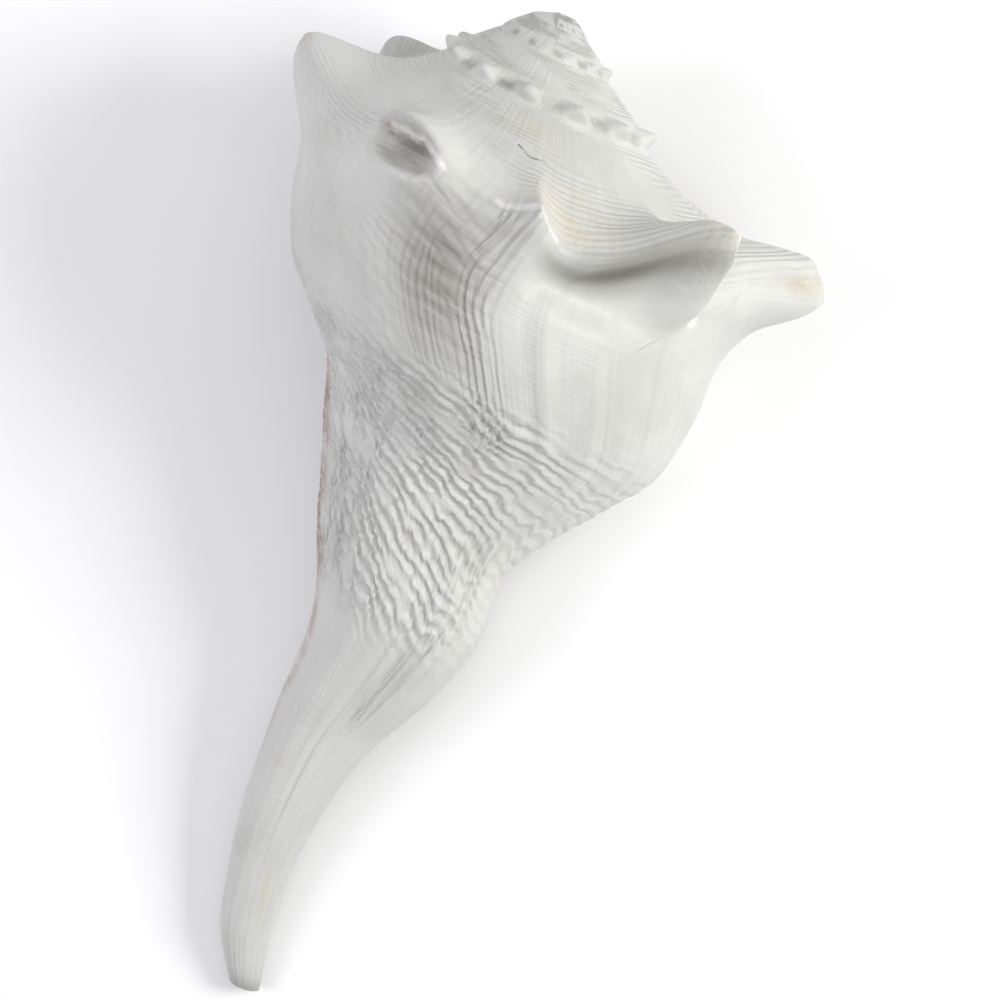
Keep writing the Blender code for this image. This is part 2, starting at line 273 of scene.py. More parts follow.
def rest_matrix(points):
    """Turn the shell onto its opening, apex towards +Y, and set it on the ground."""
    down = Vector(DOWN).normalized()
    lay = down.rotation_difference(Vector((0.0, 0.0, -1.0))).to_matrix()
    apex = lay @ Vector((0.0, 0.0, 1.0))
    swing = Matrix.Rotation(math.pi / 2 - math.atan2(apex.y, apex.x), 3, "Z")
    turn = swing @ lay
    placed = np.array(points) @ np.array(turn).T
    low, high = placed.min(axis=0), placed.max(axis=0)
    shift = Vector((-(low[0] + high[0]) / 2, -(low[1] + high[1]) / 2, -low[2]))
    return Matrix.Translation(shift * MM) @ turn.to_4x4() @ Matrix.Scale(MM, 4)

print("profile length at the lip about", round(float(PROFILE_LENGTH)), "mm")

# %% [markdown]
# ## The skin
# The shell is one sheet. Its outer side runs from the first turn to the lip, goes round the edge
# and comes back inside as the wall of the hollow, beside the older whorl. Here only the net of
# points is laid out, with each point's turn and place on the profile. Geometry Nodes then put
# the points where the rule says.

# %% The net of points and faces
class Skin:
    """Collects the shell's points, their turn, place, inset and side, and the faces."""

    def __init__(self):
        self.turns, self.places, self.insets, self.inside = [], [], [], []
        self.faces, self.corners = [], []

    def add(self, turn, place, inset=(0.0, 0.0, 0.0), inside=0.0):
        """Add a point and return its number."""
        self.turns.append(turn)
        self.places.append(place)
        self.insets.append(inset)
        self.inside.append(inside)
        return len(self.turns) - 1

    def face(self, ring, corners):
        """Add a face, leaving out points that it would have twice."""
        kept = [k for k in range(len(ring)) if ring[k] not in ring[:k]]
        if len(kept) > 2:
            self.faces.append([ring[k] for k in kept])
            self.corners.extend(corners[k] for k in kept)

    def strip(self, first, second, first_uv, second_uv):
        """Join two rows of points of the same length."""
        for k in range(len(first) - 1):
            ring = (first[k], second[k], second[k + 1], first[k + 1])
            self.face(ring, (first_uv[k], second_uv[k], second_uv[k + 1], first_uv[k + 1]))

    def fan(self, ring, centre, uv):
        """Close a ring of points round one point."""
        for a, b in zip(ring, ring[1:] + ring[:1]):
            self.face((a, b, centre), (uv, uv, uv))

    def zip_rows(self, first, second, uv):
        """Join two rows of different length with triangles."""
        i = j = 0
        while i < len(first) - 1 or j < len(second) - 1:
            ahead = (i + 1) / (len(first) - 1) <= (j + 1) / (len(second) - 1)
            if j == len(second) - 1 or (ahead and i < len(first) - 1):
                self.face((first[i], second[j], first[i + 1]), (uv, uv, uv))
                i += 1
            else:
                self.face((first[i], second[j], second[j + 1]), (uv, uv, uv))
                j += 1


def solid_rows(ramp_rows, body_rows):
    """Return the places of rows that crowd towards the shoulder from both sides."""
    ramp = 1 - np.linspace(1.0, 0.0, ramp_rows + 1) ** ROW_CROWDING
    body = np.linspace(0.0, 1.0, body_rows + 1)[1:] ** ROW_CROWDING
    below = PLACES[SEAM] + (1 - PLACES[SEAM]) * body
    return np.concatenate([PLACES[SHOULDER] * ramp, [PLACES[SEAM]], below])


def fine_rows():
    """Return the places of the fine skin's rows, closest where the relief is finest."""
    rows = solid_rows(RAMP_ROWS, 0)
    for first, last, count in FINE_ROWS:
        more = np.linspace(PLACES[first], PLACES[last], count + 1)[1:]
        rows = np.concatenate([rows, more])
    return rows


def column_turns(steps, crowding):
    """Return the turns of the columns; every whorl has the same ones, so the whorls join."""
    even = np.arange(-int(round(SPIRE_TURNS * steps)) - steps, 1) / steps
    wave = np.sin(2 * math.pi * (even - CROWDED_TURN)) + math.sin(2 * math.pi * CROWDED_TURN)
    return even - crowding / (2 * math.pi) * wave


def build_skin(steps, rows, seam, crowding=0.0, stride=1):
    """Return the whole net, closed, from the apex to the lip and back inside."""
    skin = Skin()
    last_row = len(rows) - 1
    spire_steps = int(round(SPIRE_TURNS * steps))
    turns = column_turns(steps, crowding)
    grid = np.full((len(turns), len(rows)), -1)
    lip = len(turns) - 1
    for i in range(len(turns)):
        bottom = last_row + 1 if i >= spire_steps else seam
        for j in range(1 if i == lip else 0, bottom):
            grid[i, j] = skin.add(turns[i], rows[j])
    grid[lip, 0] = grid[spire_steps, seam]
    for i in range(spire_steps):
        grid[i, seam] = grid[i + steps, 0]
    uv = [[(t, v) for v in rows] for t in turns]
    for i in range(lip):
        end = last_row + 1 if i >= spire_steps else seam + 1
        skin.strip(grid[i + 1, :end].tolist(), grid[i, :end].tolist(), uv[i + 1], uv[i])

    # The hollow: the older whorl inside it, then the inner face of the outer wall
    deep = int(round(np.sum(turns > -HOLLOW_TURNS) / stride))
    deep_steps = deep * stride
    back = turns[::-1][:deep_steps + 1:stride]
    first = seam + 1
    floor = np.full((deep + 1, len(rows)), -1)
    wall = np.full((deep + 1, len(rows)), -1)
    insets = inner_wall_inset(*np.broadcast_arrays(back[:, None], rows[None, :]))
    for i in range(deep + 1):
        covered = float(ease(-back[i] / GLAZE_FADE))
        for j in range(first, last_row + 1):
            if i == 0:
                floor[i, j] = grid[spire_steps, j]
            else:
                floor[i, j] = skin.add(back[i] - 1, rows[j], inside=covered)
        wall[i, 0] = floor[i, first]
        for j in range(1, last_row + 1):
            wall[i, j] = skin.add(back[i], rows[j], tuple(insets[i, j]), 1.0)
    floor_uv = [[(t - 1, v) for v in rows[first:]] for t in back]
    wall_uv = [[(t, v) for v in rows] for t in back]
    for i in range(deep):
        pair = floor[i, first:].tolist(), floor[i + 1, first:].tolist()
        skin.strip(*pair, floor_uv[i], floor_uv[i + 1])
        skin.strip(wall[i + 1].tolist(), wall[i].tolist(), wall_uv[i + 1], wall_uv[i])
    skin.strip(wall[0].tolist(), grid[lip].tolist(), wall_uv[0], uv[lip])
    skin.zip_rows(floor[deep, first:].tolist(), wall[deep].tolist(), (back[deep], 0.5))

    # The canal's end, then the apex
    outer = grid[:spire_steps - 1:-1, last_row].tolist()
    skin.zip_rows(wall[:, last_row].tolist(), outer[:deep_steps + 1], (0.0, 1.0))
    core = [int(wall[deep, last_row])] + outer[deep_steps:] + floor[1:, last_row].tolist()
    skin.tip = (core, skin.add(0.0, 1.0))
    skin.fan(core, skin.tip[1], (0.0, 1.0))
    ring = grid[:steps, 0].tolist() + grid[0, seam:0:-1].tolist()
    skin.apex = (ring, skin.add(turns[0], 0.0))
    skin.fan(ring, skin.apex[1], (turns[0], 0.0))
    return skin


def skin_points(skin):
    """Return where the rule puts the net's points, in millimetres with the apex at the top."""
    points = surface(np.array(skin.turns), np.array(skin.places)) + np.array(skin.insets)
    for (ring, centre), rise in ((skin.tip, -TIP_RISE), (skin.apex, APEX_RISE)):
        points[centre] = points[ring].mean(axis=0) + (0.0, 0.0, rise)
    return points


skin = build_skin(STEPS_PER_TURN, fine_rows(), RAMP_ROWS + 1, COLUMN_CROWDING, INNER_STRIDE)
print("net:", len(skin.turns), "points and", len(skin.faces), "faces")

# %% [markdown]
# ## One helper for nodes
# One helper adds a node, sets its options and links or sets its inputs. The others build on it:
# a math step, a soft step, a window, noise, and a spot on the shell. Geometry trees and material
# trees can share them, because both take the same math and noise nodes.

# %% Node helper
def put(tree, kind, inputs=None, **options):
    """Add a node to a tree, set its options, and set or link its inputs."""
    node = tree.nodes.new(kind)
    for name, value in options.items():
        setattr(node, name, value)
    for key, value in (inputs or {}).items():
        if isinstance(value, bpy.types.NodeSocket):
            tree.links.new(value, node.inputs[key])
        else:
            node.inputs[key].default_value = value
    return node


def calc(tree, operation, *values):
    """Return the result of one math step; values are numbers or sockets."""
    return put(tree, "ShaderNodeMath", dict(enumerate(values)), operation=operation).outputs[0]


def smooth_between(tree, value, low, high):
    """Go smoothly from 0 to 1 while the value goes from low to high."""
    node = put(tree, "ShaderNodeMapRange", {0: value, 1: low, 2: high, 3: 0.0, 4: 1.0},
               interpolation_type="SMOOTHSTEP")
    return node.outputs[0]


def window(tree, value, low, high, soft):
    """Be 1 between low and high and fade to 0 over soft on both sides."""
    rise = smooth_between(tree, value, low - soft, low)
    fall = smooth_between(tree, value, high + soft, high)
    return calc(tree, "MULTIPLY", rise, fall)


def noise(tree, vector, scale, detail=2.0, roughness=0.5):
    """Return noise between 0 and 1."""
    inputs = {"Vector": vector, "Scale": scale, "Detail": detail, "Roughness": roughness}
    return put(tree, "ShaderNodeTexNoise", inputs).outputs[0]


def stretched(tree, turn, place, across, down, shift=0.0):
    """Return a vector that stretches a texture along the coil or along the profile."""
    x = calc(tree, "MULTIPLY", turn, across)
    y = calc(tree, "MULTIPLY", place, down)
    return put(tree, "ShaderNodeCombineXYZ", {0: x, 1: y, 2: shift + SEED}).outputs[0]


def spot(tree, turn, place, middle, half, rim=0.3):
    """Be 1 round one point of the shell and fade to 0 at the rim; sizes in turns and places."""
    x = calc(tree, "DIVIDE", calc(tree, "SUBTRACT", turn, middle[0]), half[0])
    y = calc(tree, "DIVIDE", calc(tree, "SUBTRACT", place, middle[1]), half[1])
    away = put(tree, "ShaderNodeCombineXYZ", {0: x, 1: y}).outputs[0]
    far = put(tree, "ShaderNodeVectorMath", {0: away}, operation="LENGTH").outputs["Value"]
    return smooth_between(tree, far, 1.0, rim)


print("noise patterns use seed", SEED)

# %% [markdown]
# ## Marks of growth
# Every old lip leaves a line. Where growth paused, lines crowd into folds. Cords run the other
# way, down to the canal, and steepen to the left. These fields are built once and used twice:
# the geometry takes their height, and the material adds their finest part as a bump.

# %% Growth lines, folds and cords
def growth_turn(tree, turn, place):
    """Return a turn that stays the same along an old lip, which bulges forward at the belly."""
    node = put(tree, "ShaderNodeFloatCurve", {"Value": place})
    curve = node.mapping.curves[0]
    curve.points[0].location = LIP_CURVE[0]
    curve.points[1].location = LIP_CURVE[-1]
    for where, ahead in LIP_CURVE[1:-1]:
        curve.points.new(where, ahead)
    node.mapping.update()
    return calc(tree, "SUBTRACT", turn, node.outputs[0])


def fold_field(tree, turn, place):
    """Return the folds where growth stopped for a while: bundles of ridges along old lips."""
    age = growth_turn(tree, turn, place)
    stir = noise(tree, stretched(tree, age, place, 30.0, 9.0, 8.0), 1.0, 2.0)
    rank = noise(tree, stretched(tree, age, place, 110.0, 5.0, 11.0), 1.0, 1.0)
    rank = smooth_between(tree, rank, 0.25, 0.62)
    total = 0.0
    for middle, reach, per_turn, height, top, bottom in BUNDLES:
        phase = calc(tree, "MULTIPLY_ADD", age, per_turn, calc(tree, "MULTIPLY", stir, 3.0))
        ridge = calc(tree, "SINE", calc(tree, "MULTIPLY", phase, 2 * math.pi))
        ridge = calc(tree, "MULTIPLY", ridge, rank)
        far = calc(tree, "ABSOLUTE", calc(tree, "SUBTRACT", age, middle))
        near = calc(tree, "MULTIPLY", smooth_between(tree, far, reach, reach * 0.3), height)
        near = calc(tree, "MULTIPLY", near, window(tree, place, top, bottom, 0.04))
        total = calc(tree, "MULTIPLY_ADD", ridge, near, total)
    for middle, reach, height, top, bottom in OLD_LIPS:
        far = calc(tree, "ABSOLUTE", calc(tree, "SUBTRACT", age, middle))
        near = calc(tree, "MULTIPLY", smooth_between(tree, far, reach, 0.0), height)
        total = calc(tree, "MULTIPLY_ADD", near, window(tree, place, top, bottom, 0.05), total)
    return total


def cord_field(tree, turn, place, count, slant):
    """Return cords that run down to the canal, steeper to the left and gently wavy."""
    wave = noise(tree, stretched(tree, turn, place, 30.0, 18.0), 1.0, 3.0, 0.6)
    drift = noise(tree, stretched(tree, turn, place, 9.0, 12.0, 3.0), 1.0, 2.0)
    left = calc(tree, "MAXIMUM", calc(tree, "SUBTRACT", CORD_BEND, turn), 0.0)
    phase = calc(tree, "MULTIPLY", place, count)
    phase = calc(tree, "MULTIPLY_ADD", calc(tree, "MULTIPLY", left, left), slant, phase)
    phase = calc(tree, "MULTIPLY_ADD", wave, 2.0, phase)
    phase = calc(tree, "MULTIPLY_ADD", drift, 2.2, phase)
    cord = calc(tree, "SINE", calc(tree, "MULTIPLY", phase, 2 * math.pi))
    patchy = noise(tree, stretched(tree, turn, place, 22.0, 30.0, 6.0), 1.0, 2.0)
    cord = calc(tree, "MULTIPLY", cord, smooth_between(tree, patchy, 0.26, 0.54))
    root = window(tree, place, PLACES[LOWER_BODY] + 0.03, PLACES[CANAL_1], 0.06)
    right = smooth_between(tree, turn, *RIGHT_SIDE)
    root = calc(tree, "MULTIPLY", root, calc(tree, "MULTIPLY_ADD", right, -RIGHT_LOSS, 1.0))
    left_body = window(tree, turn, *LEFT_BODY, 0.03)
    body = calc(tree, "MULTIPLY_ADD", left_body, *BODY_CORDS)
    body = calc(tree, "MULTIPLY", body, window(tree, place, PLACES[SEAM], 1.0, 0.04))
    body = calc(tree, "MULTIPLY", body, window(tree, place, 0.0, PLACES[CANAL_1], 0.05))
    return calc(tree, "MULTIPLY", cord, calc(tree, "MAXIMUM", root, body))


# How far old lips run ahead of a straight line, for places from the suture to the canal tip
LIP_CURVE = ((0.0, 0.030), (0.157, 0.015), (0.20, 0.003), (0.25, 0.0), (0.30, 0.008),
             (0.36, 0.031), (0.42, 0.055), (0.50, 0.067), (0.564, 0.063), (0.635, 0.027),
             (0.71, 0.003), (0.80, 0.0), (1.0, 0.0))

# Bundles of folds: growth turn, half width, folds per turn, height, from place, to place
BUNDLES = (
    (-0.307, 0.024, 150.0, 1.0, 0.165, 0.40),
    (-0.350, 0.026, 165.0, 0.45, 0.18, 0.34),
    (-0.255, 0.060, 44.0, 0.9, 0.54, 0.70),
    (-0.130, 0.060, 60.0, 0.22, 0.20, 0.45),
)

# Single old lips: growth turn, half width, height, from place, to place
OLD_LIPS = (
    (-0.256, 0.014, 1.6, 0.18, 0.40),
    (-0.215, 0.010, 0.5, 0.20, 0.42),
    (-0.420, 0.010, 0.5, 0.20, 0.48),
    (-0.305, 0.012, 0.9, 0.60, 0.80),
)

# Broken places: middle and half size in turns and places
BREAKS = (
    ((-0.382, 0.157), (0.032, 0.032)),
    ((-0.182, 0.165), (0.016, 0.036)),
    ((-0.082, 0.157), (0.018, 0.034)),
    ((-0.287, 0.150), (0.014, 0.020)),
)

# Cords: how many down the profile, how fast they steepen to the left, and from which turn on
CORD_COUNT, CORD_SLANT, CORD_BEND = 68.0, 58.0, -0.05
RIGHT_SIDE, RIGHT_LOSS = (-0.25, -0.15), 0.70    # turns where they weaken, and by how much
LEFT_BODY, BODY_CORDS = (-0.60, -0.31), (0.14, 0.03)    # body: more on the left, then all over

print(len(BUNDLES), "bundles of folds,", len(OLD_LIPS), "old lips,", len(BREAKS), "broken places")

# %% [markdown]
# ## The tree that coils the net
# The tree reads each point's turn and profile values and works out the coil: depth and radius
# shrink as powers of the turn, and the radius swings round the axis. The second half raises the
# relief along the surface normal: cords, folds of growth, the softening of wear, and rough
# edges where spines broke off. Its heights are named inputs of the group, in millimetres.

# %% Geometry tree
RELIEF_INPUTS = (
    ("Lip Angle", LIP_ANGLE),
    ("Tuck Start", TUCK_START),
    ("Tuck Length", TUCK_LENGTH),
    ("Cord Height", 0.46),
    ("Cord Count", CORD_COUNT),
    ("Cord Slant", CORD_SLANT),
    ("Fold Height", 0.36),
    ("Swell Height", 0.8),
    ("Wear Height", 0.8),
    ("Break Height", 1.2),
)


def whorl_tree():
    """Build the tree that coils the net and raises the relief."""
    tree = bpy.data.node_groups.new("Whorl rule", "GeometryNodeTree")
    face = tree.interface
    face.new_socket("Geometry", in_out="INPUT", socket_type="NodeSocketGeometry")
    for name, value in RELIEF_INPUTS:
        socket = face.new_socket(name, in_out="INPUT", socket_type="NodeSocketFloat")
        socket.default_value = value
    face.new_socket("Material", in_out="INPUT", socket_type="NodeSocketMaterial")
    face.new_socket("Geometry", in_out="OUTPUT", socket_type="NodeSocketGeometry")
    given = put(tree, "NodeGroupInput").outputs
    result = put(tree, "NodeGroupOutput")

    def read(name, kind="FLOAT"):
        return put(tree, "GeometryNodeInputNamedAttribute", {0: name}, data_type=kind).outputs[0]

    turn, place = read("turn"), read("place")

    # The coil
    depth = calc(tree, "EXPONENT", calc(tree, "MULTIPLY", read("growth_depth"), turn))
    depth = calc(tree, "MULTIPLY", depth, read("depth"))
    depth = calc(tree, "SUBTRACT", depth, read("push_up"))
    radius = calc(tree, "EXPONENT", calc(tree, "MULTIPLY", read("growth_radius"), turn))
    radius = calc(tree, "MULTIPLY", radius, read("radius"))
    back = calc(tree, "SUBTRACT", calc(tree, "MULTIPLY", turn, -1.0), given["Tuck Start"])
    back = calc(tree, "DIVIDE", back, given["Tuck Length"])
    tucked = calc(tree, "MULTIPLY", smooth_between(tree, back, 0.0, 1.0), read("tuck"))
    radius = calc(tree, "MULTIPLY", radius, calc(tree, "SUBTRACT", 1.0, tucked))
    radius = calc(tree, "ADD", radius, read("push_out"))
    angle = calc(tree, "RADIANS", given["Lip Angle"])
    angle = calc(tree, "MULTIPLY_ADD", turn, 2 * math.pi, angle)
    x = calc(tree, "MULTIPLY_ADD", radius, calc(tree, "SINE", angle), read("bend"))
    y = calc(tree, "MULTIPLY", calc(tree, "MULTIPLY", radius, calc(tree, "COSINE", angle)), -1.0)
    z = calc(tree, "MULTIPLY", depth, -1.0)
    coil = put(tree, "ShaderNodeCombineXYZ", {0: x, 1: y, 2: z}).outputs[0]
    inset = read("inset", "FLOAT_VECTOR")
    coil = put(tree, "ShaderNodeVectorMath", {0: coil, 1: inset}, operation="ADD").outputs[0]
    shell = put(tree, "GeometryNodeSetPosition", {0: given["Geometry"], 2: coil}).outputs[0]

    # Cords at the canal's root
    cord = cord_field(tree, turn, place, given["Cord Count"], given["Cord Slant"])
    cord = calc(tree, "MULTIPLY", cord, given["Cord Height"])

    # Folds of growth, and a slow swelling between them
    fold = calc(tree, "MULTIPLY", fold_field(tree, turn, place), given["Fold Height"])
    age = growth_turn(tree, turn, place)
    swell = noise(tree, stretched(tree, age, place, 34.0, 3.0, 2.0), 1.0, 2.0)
    swell = calc(tree, "MULTIPLY", calc(tree, "SUBTRACT", swell, 0.5), given["Swell Height"])
    swell = calc(tree, "MULTIPLY", swell, smooth_between(tree, place, PLACES[1], PLACES[SEAM]))
    fold = calc(tree, "ADD", fold, swell)

    # Wear, larger than the lines it softens
    where = put(tree, "GeometryNodeInputPosition").outputs[0]
    wear = noise(tree, where, 0.055, 2.0)
    wear = calc(tree, "MULTIPLY", calc(tree, "SUBTRACT", wear, 0.5), given["Wear Height"])

    # Broken edges are rough
    rough = noise(tree, where, 0.26, 2.0, 0.6)
    rough = calc(tree, "MULTIPLY", calc(tree, "SUBTRACT", rough, 0.5), given["Break Height"])
    broken = 0.0
    for middle, half in BREAKS:
        broken = calc(tree, "MAXIMUM", broken, spot(tree, turn, place, middle, half))
    rough = calc(tree, "MULTIPLY", rough, broken)

    height = calc(tree, "ADD", calc(tree, "ADD", cord, fold), calc(tree, "ADD", wear, rough))
    size = calc(tree, "EXPONENT", calc(tree, "MULTIPLY", turn, math.log(GROWTH)))
    height = calc(tree, "MULTIPLY", height, calc(tree, "SQRT", size))
    outside = calc(tree, "SUBTRACT", 1.0, read("inside"))
    height = calc(tree, "MULTIPLY", height, outside)
    normal = put(tree, "GeometryNodeInputNormal").outputs[0]
    offset = put(tree, "ShaderNodeVectorMath", {0: normal, "Scale": height}, operation="SCALE")
    shell = put(tree, "GeometryNodeSetPosition", {0: shell, 3: offset.outputs[0]}).outputs[0]
    shell = put(tree, "GeometryNodeRealizeInstances", {0: shell}).outputs[0]
    shell = put(tree, "GeometryNodeSetMaterial", {0: shell, 2: given["Material"]}).outputs[0]
    tree.links.new(shell, result.inputs[0])
    return tree


print("the tree takes", ", ".join(name for name, value in RELIEF_INPUTS))

# %% [markdown]
# ## From net to mesh
# The net carries turn, place and the profile's values as attributes, so the tree needs nothing
# else. The modifier is read once, and what it gives is kept as a plain mesh.

# %% Net and growth
def add_attribute(mesh, name, values, kind="FLOAT"):
    """Store one value or vector for each point."""
    data = mesh.attributes.new(name, kind, "POINT").data
    data.foreach_set("vector" if kind == "FLOAT_VECTOR" else "value", np.ravel(values))


def net_mesh(skin):
    """Make the flat net with all that the tree reads; it has no shape yet."""
    turn, place = np.array(skin.turns), np.array(skin.places)
    row = profile(place)
    out, up = pushes(turn, place)
    goal = skin_points(skin)
    inset = np.array(skin.insets)
    for centre in (skin.tip[1], skin.apex[1]):
        inset[centre] += goal[centre] - surface(turn[centre], place[centre])
    mesh = bpy.data.meshes.new("net")
    mesh.from_pydata(goal.tolist(), [], skin.faces)
    mesh.uv_layers.new(name="whorl").uv.foreach_set("vector", np.ravel(skin.corners))
    names = ("depth", "radius", "growth_depth", "growth_radius", "bend", "tuck")
    for column, name in enumerate(names):
        add_attribute(mesh, name, row[..., column])
    for name, values in (("turn", turn), ("place", place), ("push_out", out), ("push_up", up)):
        add_attribute(mesh, name, values)
    add_attribute(mesh, "inside", skin.inside)
    add_attribute(mesh, "inset", inset, "FLOAT_VECTOR")
    mesh.shade_smooth()
    return mesh


def grow(mesh, tree, material):
    """Run the tree on the net and return the finished mesh."""
    holder = bpy.data.objects.new("holder", mesh)
    bpy.context.scene.collection.objects.link(holder)
    modifier = holder.modifiers.new("rule", "NODES")
    modifier.node_group = tree
    for item in tree.interface.items_tree:
        if item.in_out == "INPUT" and item.name == "Material":
            modifier[item.identifier] = material
    graph = bpy.context.evaluated_depsgraph_get()
    grown = bpy.data.meshes.new_from_object(holder.evaluated_get(graph))
    bpy.data.objects.remove(holder, do_unlink=True)
    return grown


whorl_rule = whorl_tree()
net = net_mesh(skin)
print("whorl rule:", len(whorl_rule.nodes), "nodes; net:", len(net.attributes), "attributes")

# %% [markdown]
# ## Colours and cracks
# Colours are written as they look on a screen and turned into linear values by one function.
# A crack is the distance to a line drawn through a few points of the shell, so it stays sharp
# however near the camera comes.

# %% Colour and crack helpers
def srgb(code):
    """Turn a hex colour into the linear values that the shader wants."""
    parts = [int(code[k:k + 2], 16) / 255 for k in (1, 3, 5)]
    linear = [p / 12.92 if p <= 0.04045 else ((p + 0.055) / 1.055) ** 2.4 for p in parts]
    return (*linear, 1.0)


def blend(tree, amount, first, second):
    """Mix two colours."""
    inputs = {0: amount, 6: first, 7: second}
    return put(tree, "ShaderNodeMix", inputs, data_type="RGBA").outputs[2]


def crack(tree, turn, place, points, width):
    """Be 1 along a line through points of the shell, given in turns and places."""
    x = calc(tree, "MULTIPLY", turn, COIL_LENGTH)
    y = calc(tree, "MULTIPLY", place, PROFILE_LENGTH)
    total = 0.0
    for start, end in zip(points, points[1:]):
        sx, sy = start[0] * COIL_LENGTH, start[1] * PROFILE_LENGTH
        dx, dy = end[0] * COIL_LENGTH - sx, end[1] * PROFILE_LENGTH - sy
        ax, ay = calc(tree, "SUBTRACT", x, sx), calc(tree, "SUBTRACT", y, sy)
        along = calc(tree, "MULTIPLY_ADD", ax, dx, calc(tree, "MULTIPLY", ay, dy))
        along = calc(tree, "DIVIDE", along, dx * dx + dy * dy)
        along = calc(tree, "MINIMUM", calc(tree, "MAXIMUM", along, 0.0), 1.0)
        ax = calc(tree, "MULTIPLY_ADD", along, -dx, ax)
        ay = calc(tree, "MULTIPLY_ADD", along, -dy, ay)
        away = put(tree, "ShaderNodeCombineXYZ", {0: ax, 1: ay}).outputs[0]
        far = put(tree, "ShaderNodeVectorMath", {0: away}, operation="LENGTH").outputs["Value"]
        total = calc(tree, "MAXIMUM", total, smooth_between(tree, far, width, 0.0))
    return total


# Relief too fine for the mesh, in millimetres
BUMP_HEIGHTS = (("thread", 0.09), ("line", 0.24), ("cord", 0.3),
                ("fold", 0.22), ("crack", -0.5))
GRAIN_HEIGHT, CRUMB_HEIGHT = 0.025, 0.55

# Painted shade in the low parts of the lines: which, from and to which height the grey grows, and
# how strongly
GROOVE_SHADE_LINES = (
    ("thread", -0.2, -1.0, 0.10),
    ("cord", -0.2, -0.9, 0.22),
    ("fold", 0.0, -0.9, 0.25),
    ("line", 0.45, 0.25, 0.08),
)
CRACK_GREY = 0.80
CHALKY, GLAZED = 0.52, 0.34    # roughness outside and inside

COIL_LENGTH = 283.0      # millimetres round the back of the last whorl for one turn
THREADS = 135.0          # threads from the suture to the canal tip
BANDS = 44.0             # wider bands that stripe the painted shade in the hollows
CHALK, CHALK_SHADE = srgb("#d5d5d1"), srgb("#c6c6c1")
# The edge white is partly fresh break and partly painted highlight
BREAK_AND_HIGHLIGHT_WHITE, STAIN = srgb("#efece6"), srgb("#d2c6a6")
# The groove grey is painted shade in the low parts of the lines, and also the grey of the cracks
GROOVE_SHADE_AND_CRACK_GREY, INSIDE = srgb("#a3a099"), srgb("#dcc6ae")
# The dark grey is painted shade for the hollows and the pits between the knobs
OCHRE, BROWN, PAINTED_SHADE_GREY = srgb("#c9b184"), srgb("#987158"), srgb("#6a685d")

# Tinted spots: middle and half size in turns and places, strength, colour
SPOTS = (
    ((-0.255, 0.115), (0.050, 0.045), 0.45, STAIN),
    ((-0.165, 0.150), (0.030, 0.022), 0.70, OCHRE),
    ((-0.090, 0.158), (0.018, 0.014), 0.45, OCHRE),
    ((-0.400, 0.150), (0.012, 0.010), 0.70, BROWN),
    ((-0.575, 0.158), (0.020, 0.018), 0.65, OCHRE),
    ((-0.520, 0.580), (0.056, 0.240), 0.70, BROWN),
    ((-0.250, 0.900), (0.060, 0.030), 0.55, STAIN),
)

# Broken edges are whiter, partly the white of fresh breaks and partly painted highlight along the
# rims that face the light: points in turns and places, width in millimetres
BREAK_AND_HIGHLIGHT_EDGES = (
    (((-0.178, 0.158), (-0.160, 0.176), (-0.148, 0.196)), 2.2),
    (((-0.398, 0.147), (-0.372, 0.146), (-0.352, 0.158)), 1.6),
    (((-0.310, 0.146), (-0.286, 0.148), (-0.270, 0.152)), 1.8),
)

# Painted shade in the hollows (the groove by the fold bundle, the band under the shoulder's edge,
# the broken stump's bowl): middle and half size, strength
PAINTED_SHADE_PATCHES = (
    ((-0.335, 0.245), (0.060, 0.150), 0.78),
    ((-0.230, 0.173), (0.074, 0.030), 1.00),
    ((-0.395, 0.160), (0.036, 0.032), 0.95),
)

# Points along the cracks, in turns and places
RAMP_CRACK = ((-0.310, 0.063), (-0.296, 0.072), (-0.284, 0.067), (-0.270, 0.074))
SPINE_CRACK = ((-0.120, 0.168), (-0.143, 0.187), (-0.164, 0.210), (-0.186, 0.236))

print(len(SPOTS), "stains and", len(PAINTED_SHADE_PATCHES), "grey hollows")

# %% [markdown]
# ## The shell's material
# Old shell is chalk-white aragonite that has lost its colour and its gloss. The lines in it are
# too fine to model, so they are bumps, and they follow the coil because the texture is read by
# turn and place. Stains sit here and there; painted shade darkens the hollows, the pits between
# the knobs and the low parts of the lines; broken edges are whiter, partly with painted highlight;
# and the inside keeps a little of its warm glaze.

# %% Bleached shell material
def fine_threads(tree, turn, place, drift, knobbed):
    """Return fine threads along the coil, about 1.6 mm apart, on the ramp and in patches."""
    phase = calc(tree, "MULTIPLY_ADD", place, THREADS, calc(tree, "MULTIPLY", drift, 3.0))
    thread = calc(tree, "SINE", calc(tree, "MULTIPLY", phase, 2 * math.pi))
    patchy = noise(tree, stretched(tree, turn, place, 8.0, 14.0, 5.0), 1.0, 2.0)
    patchy = smooth_between(tree, patchy, 0.36, 0.56)
    ramp = smooth_between(tree, place, PLACES[SEAM] + 0.03, PLACES[SHOULDER] - 0.03)
    ramp = calc(tree, "MULTIPLY_ADD", ramp, 0.85, 0.15)
    thread = calc(tree, "MULTIPLY", calc(tree, "MULTIPLY", thread, patchy), ramp)
    return calc(tree, "MULTIPLY", thread, calc(tree, "SUBTRACT", 1.0, knobbed))


